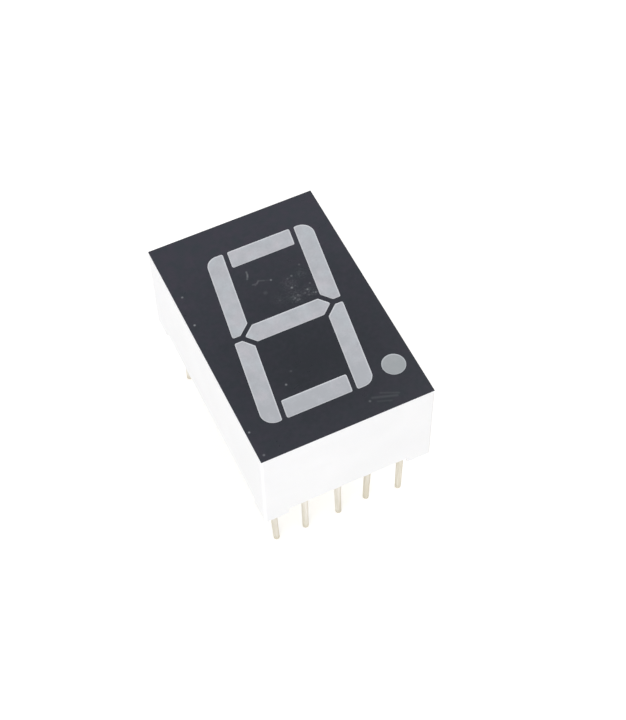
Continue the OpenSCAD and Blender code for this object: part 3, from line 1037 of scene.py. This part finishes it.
@dataclass
class Pins:
    """The ten pins: straight tinned wires, each leaning a little from where it leaves the potting.

    Attributes:
        finish: the wire's finish.
        lean_mm: how far each pin's tip stands from its true place, across and along the body.
        bend_mm: the length over which a pin bends before it runs straight.
        root_mm: the height where it starts to bend.
        bevel_mm: the bevel around a tip.
        taper_mm: the length over which a pin thins towards its tip.
        taper: how much thinner it is at the tip, as a share.
        line_deep_mm: the depth of the lines that the die left.
        lines: how many points there are around a pin.
        steps: how many steps its bend takes.
        crease: the angle from which two faces meet in an edge, in degrees.
        seed: the seed of the lines.
    """

    finish: Finish = TinnedWire()
    lean_mm: tuple[tuple[float, float], ...] = (
        (0.24, -0.04), (-0.01, -0.10), (0.11, -0.06), (-0.12, 0.12), (-0.14, -0.12),
        (0.04, 0.05), (-0.05, 0.02), (0.03, -0.04), (-0.02, 0.06), (0.06, 0.18),
    )
    bend_mm: float = 0.8
    root_mm: float = 0.9
    bevel_mm: float = 0.02
    taper_mm: float = 3.2
    taper: float = 0.10
    line_deep_mm: float = 0.006
    lines: int = 40
    steps: int = 9
    crease: float = 35.0
    seed: int = 7

    def nodes(self) -> list[str]:
        """Names the CAD nodes of the pins."""
        return [f"pin_{n}" for n in range(1, len(self.lean_mm) + 1)]

    def places(self) -> list[Vector]:
        """Gives the middle of each CAD pin."""
        return [sum(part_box(node), Vector()) / 2 for node in self.nodes()]

    def build(self) -> None:
        """Builds and dresses the pins."""
        low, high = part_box("pin_1")
        heights = [low.z, low.z + self.bevel_mm * MM, low.z + self.taper_mm * MM]
        heights += [(self.root_mm - self.bend_mm * (1 - k / self.steps)) * MM for k in range(self.steps + 1)]
        heights.append(high.z)
        points: list[Vector] = []
        edges: list[tuple[int, int]] = []
        for place, lean in zip(self.places(), self.lean_mm):
            edges += [(len(points) + i, len(points) + i + 1) for i in range(len(heights) - 1)]
            for height in heights:
                away = self._bent(height) / self._bent(low.z) * MM
                points.append(Vector((place.x + lean[0] * away, place.y + lean[1] * away, height)))
        paths = bpy.data.meshes.new("pins")
        paths.from_pydata(points, edges, [])
        piece = new_piece("pins", paths)
        tree = self._tree()
        values = {
            "Wire Radius": self._radius(), "Tip Bevel": self.bevel_mm * MM, "Taper": self.taper,
            "Taper Length": self.taper_mm * MM, "Line Depth": self.line_deep_mm * MM,
            "Crease": math.radians(self.crease), "Points Around": self.lines, "Seed": self.seed,
            "Finish": self.finish.make(),
        }
        modifier = piece.modifiers.new("drawn_wire", "NODES")
        modifier.node_group = tree
        for item in tree.interface.items_tree:
            if item.in_out == "INPUT" and item.name in values:
                modifier[item.identifier] = values[item.name]
        graph = bpy.context.evaluated_depsgraph_get()
        piece_now = piece.evaluated_get(graph)
        mesh = bpy.data.meshes.new_from_object(piece_now, preserve_all_data_layers=True, depsgraph=graph)
        piece.modifiers.remove(modifier)
        piece.data = mesh
        seat(piece, self.nodes())

    def _bent(self, height: float) -> float:
        """Gives the way down to a height from where a pin bends, less what the bend takes, in millimetres."""
        down = max(self.root_mm - height / MM, 0.0)
        return down * down / (2 * self.bend_mm) if down < self.bend_mm else down - self.bend_mm / 2

    def _radius(self) -> float:
        """Measures a CAD pin below the seating plane.

        Returns:
            Its radius.
        """
        place = self.places()[0]
        points = (v.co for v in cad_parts["pin_1"].data.vertices if v.co.z < -MM)
        return max(math.hypot(point.x - place.x, point.y - place.y) for point in points)

    def _tree(self) -> Tree:
        """Builds the tree that draws a wire along each line.

        Returns:
            The tree, with named inputs for the wire's sizes.
        """
        tree = bpy.data.node_groups.new("drawn_wire", "GeometryNodeTree")
        for name, kind in (
            ("Geometry", "Geometry"), ("Wire Radius", "Float"), ("Tip Bevel", "Float"),
            ("Taper Length", "Float"), ("Taper", "Float"), ("Line Depth", "Float"), ("Crease", "Float"),
            ("Points Around", "Int"), ("Seed", "Int"), ("Finish", "Material"),
        ):
            tree.interface.new_socket(name=name, in_out="INPUT", socket_type=f"NodeSocket{kind}")
        tree.interface.new_socket(name="Geometry", in_out="OUTPUT", socket_type="NodeSocketGeometry")
        add = partial(add_node, tree)
        given = add("NodeGroupInput").node.outputs

        # The wire's section: a circle with the die's lines cut into it.
        section = add("GeometryNodeCurvePrimitiveCircle", {
            "Resolution": given["Points Around"], "Radius": given["Wire Radius"],
        })
        outwards = add("ShaderNodeVectorMath", {0: add("GeometryNodeInputPosition")}, operation="NORMALIZE")
        cut = add("FunctionNodeRandomValue", {2: 0.0, 3: -1.0, "Seed": given["Seed"]}, data_type="FLOAT")
        depth = add("ShaderNodeMath", {0: cut, 1: given["Line Depth"]}, operation="MULTIPLY")
        offset = add("ShaderNodeVectorMath", {0: outwards, "Scale": depth}, operation="SCALE")
        lined = add("GeometryNodeSetPosition", {"Geometry": section, "Offset": offset})

        # The wire's path, thinner near its ends for their bevels, and towards its tip, where it starts.
        path = add("GeometryNodeMeshToCurve", {"Mesh": given["Geometry"]})
        here = add("GeometryNodeSplineParameter").node.outputs["Length"]
        rest = add("ShaderNodeMath", {0: add("GeometryNodeSplineLength"), 1: here}, operation="SUBTRACT")
        nearer = add("ShaderNodeMath", {0: here, 1: rest}, operation="MINIMUM")
        bevel = add("ShaderNodeMath", {0: given["Tip Bevel"], 1: given["Wire Radius"]}, operation="DIVIDE")
        thin = add("ShaderNodeMath", {0: 1.0, 1: bevel}, operation="SUBTRACT")
        bevelled = add(
            "ShaderNodeMapRange", {"Value": nearer, "From Max": given["Tip Bevel"], "To Min": thin}
        )
        tip = add("ShaderNodeMath", {0: 1.0, 1: given["Taper"]}, operation="SUBTRACT")
        tapered = add("ShaderNodeMapRange", {"Value": here, "From Max": given["Taper Length"], "To Min": tip})
        scale = add("ShaderNodeMath", {0: bevelled, 1: tapered}, operation="MULTIPLY")
        wire = add("GeometryNodeCurveToMesh", {
            "Curve": path, "Profile Curve": lined, "Scale": scale, "Fill Caps": True,
        })

        # Smooth round the wire, with an edge around each end.
        turn = add("GeometryNodeInputMeshEdgeAngle")
        crease = add(
            "FunctionNodeCompare", {0: turn, 1: given["Crease"]}, data_type="FLOAT", operation="GREATER_THAN"
        )
        smooth = add("GeometryNodeSetShadeSmooth", {"Geometry": wire, "Shade Smooth": True}, domain="FACE")
        creased = add(
            "GeometryNodeSetShadeSmooth", {"Geometry": smooth, "Selection": crease, "Shade Smooth": False},
            domain="EDGE",
        )
        real = add("GeometryNodeRealizeInstances", {"Geometry": creased})
        dressed = add("GeometryNodeSetMaterial", {"Geometry": real, "Material": given["Finish"]})
        add("NodeGroupOutput", {"Geometry": dressed})
        return tree


@dataclass(frozen=True)
class SoftBox:
    """A square soft lamp aimed at the display.

    Attributes:
        name: its name.
        azimuth: where it stands, in degrees from +X towards +Y.
        elevation: its height above the horizon, in degrees.
        away: its distance, in metres.
        side: the length of its side, in metres.
        glow: the light that each square metre of it gives in each direction.
        colour: its colour.
    """

    name: str
    azimuth: float
    elevation: float
    away: float
    side: float
    glow: float
    colour: str

    def place(self, aim: Vector) -> None:
        """Puts the lamp in the scene.

        Args:
            aim: the point that it faces.
        """
        lamp = bpy.data.lights.new(self.name, "AREA")
        lamp.shape = "SQUARE"
        lamp.size = self.side
        lamp.energy = self.glow * math.pi * self.side**2
        lamp.color = linear(self.colour)[:3]
        turn, rise = math.radians(self.azimuth), math.radians(self.elevation)
        away = Vector((math.cos(turn) * math.cos(rise), math.sin(turn) * math.cos(rise), math.sin(rise)))
        set_up(self.name, lamp, aim + away * self.away, away.to_track_quat("Z", "Y"))


@dataclass
class Studio:
    """The pale floor, the soft lamps, the surroundings and the camera.

    Attributes:
        eye_mm: where the camera stands.
        aim_mm: the point of the face's plane at the middle of its view.
        roll: how far the camera is turned about its view, in degrees.
        lens: its focal length on a 36 mm long side.
        around: the strength of the light from all around.
        floor: the floor's colour.
        floor_half: half the floor's side, in metres.
        floor_lift: the light added to the floor where it is seen, so that it is white outside the shadow.
        lamps: the soft lamps.
        lit_mm: the point that they face.
    """

    eye_mm: tuple[float, float, float] = (-25.552, -59.999, 100.16)
    aim_mm: tuple[float, float, float] = (0.129, -3.793, 8.0)
    roll: float = -1.298
    lens: float = 83.0
    around: float = 0.69
    floor: str = "#e9e8e6"
    floor_half: float = 1.0
    floor_lift: float = 0.45
    lamps: tuple[SoftBox, ...] = (
        SoftBox("key_lamp", 10.0, 52.0, 0.30, 0.22, 1.02, "#fffdf9"),
        SoftBox("corner_lamp", -135.0, 20.0, 0.34, 0.26, 2.42, "#fbfcff"),
    )
    lit_mm: tuple[float, float, float] = (0.0, 0.0, 4.0)

    def build(self) -> None:
        """Builds the studio around the display."""
        self._camera()
        self._floor()
        self._surroundings()
        for lamp in self.lamps:
            lamp.place(Vector(self.lit_mm) * MM)
        bpy.context.scene.view_settings.view_transform = "Standard"

    def _camera(self) -> None:
        """Puts the camera in the scene."""
        eye, aim = (Vector(v) * MM for v in (self.eye_mm, self.aim_mm))
        camera = bpy.data.cameras.new("camera")
        camera.lens, camera.sensor_width = self.lens, 36.0
        camera.clip_start, camera.clip_end = 5 * MM, 10.0
        level = (aim - eye).to_track_quat("-Z", "Y")
        turn = level @ Quaternion((0.0, 0.0, 1.0), math.radians(self.roll))
        bpy.context.scene.camera = set_up("camera", camera, eye, turn)

    def _seen(self, tree: Tree) -> Socket:
        """Tells the rays that show the surroundings from those that light the display.

        Args:
            tree: the tree that gets the nodes.

        Returns:
            1 for a ray from the camera, from gloss or through glass, and 0 for any other.
        """
        ray = add_node(tree, "ShaderNodeLightPath").node.outputs
        inputs = {0: ray["Is Glossy Ray"], 1: ray["Is Transmission Ray"]}
        bounced = add_node(tree, "ShaderNodeMath", inputs, operation="MAXIMUM")
        return add_node(tree, "ShaderNodeMath", {0: ray["Is Camera Ray"], 1: bounced}, operation="MAXIMUM")

    def _floor(self) -> None:
        """Puts a matt white board under the pins, clear from below so that the display's back shows."""
        height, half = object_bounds()[0].z, self.floor_half
        mesh = bpy.data.meshes.new("floor")
        corners = [(-half, -half), (half, -half), (half, half), (-half, half)]
        mesh.from_pydata([(x, y, height) for x, y in corners], [], [(0, 1, 2, 3)])
        material = bpy.data.materials.new("matt_white_board")
        material.use_nodes = True
        material.node_tree.nodes.clear()
        add = partial(add_node, material.node_tree)
        matt = add("ShaderNodeBsdfDiffuse", {"Color": linear(self.floor)})
        seen = self._seen(material.node_tree)
        lift = add("ShaderNodeMath", {0: seen, 1: self.floor_lift}, operation="MULTIPLY")
        lit = add("ShaderNodeAddShader", {0: matt, 1: add("ShaderNodeEmission", {"Strength": lift})})
        below = add("ShaderNodeNewGeometry").node.outputs["Backfacing"]
        shown = add("ShaderNodeMixShader", {0: below, 1: lit, 2: add("ShaderNodeBsdfTransparent")})
        add("ShaderNodeOutputMaterial", {"Surface": shown})
        mesh.materials.append(material)
        new_piece("floor", mesh)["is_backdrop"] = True

    def _surroundings(self) -> None:
        """Lights the display evenly from all around, and shows white."""
        world = bpy.data.worlds.new("white_studio")
        bpy.context.scene.world = world
        world.use_nodes = True
        world.node_tree.nodes.clear()
        add = partial(add_node, world.node_tree)
        seen = self._seen(world.node_tree)
        strength = add("ShaderNodeMapRange", ramp(seen, WHOLE, (self.around, 1.0)))
        light = add("ShaderNodeBackground", {"Color": linear("#ffffff"), "Strength": strength})
        add("ShaderNodeOutputWorld", {"Surface": light})


def main() -> None:
    """Builds the display and its studio."""
    logging.basicConfig(level=logging.INFO, format="%(name)s: %(message)s")
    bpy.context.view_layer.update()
    Studio().build()
    Housing().dress()
    Face().dress()
    LightWells().build()
    Board().dress()
    pins = Pins()
    Potting().build(pins.places())
    pins.build()


if __name__ == "__main__":
    main()
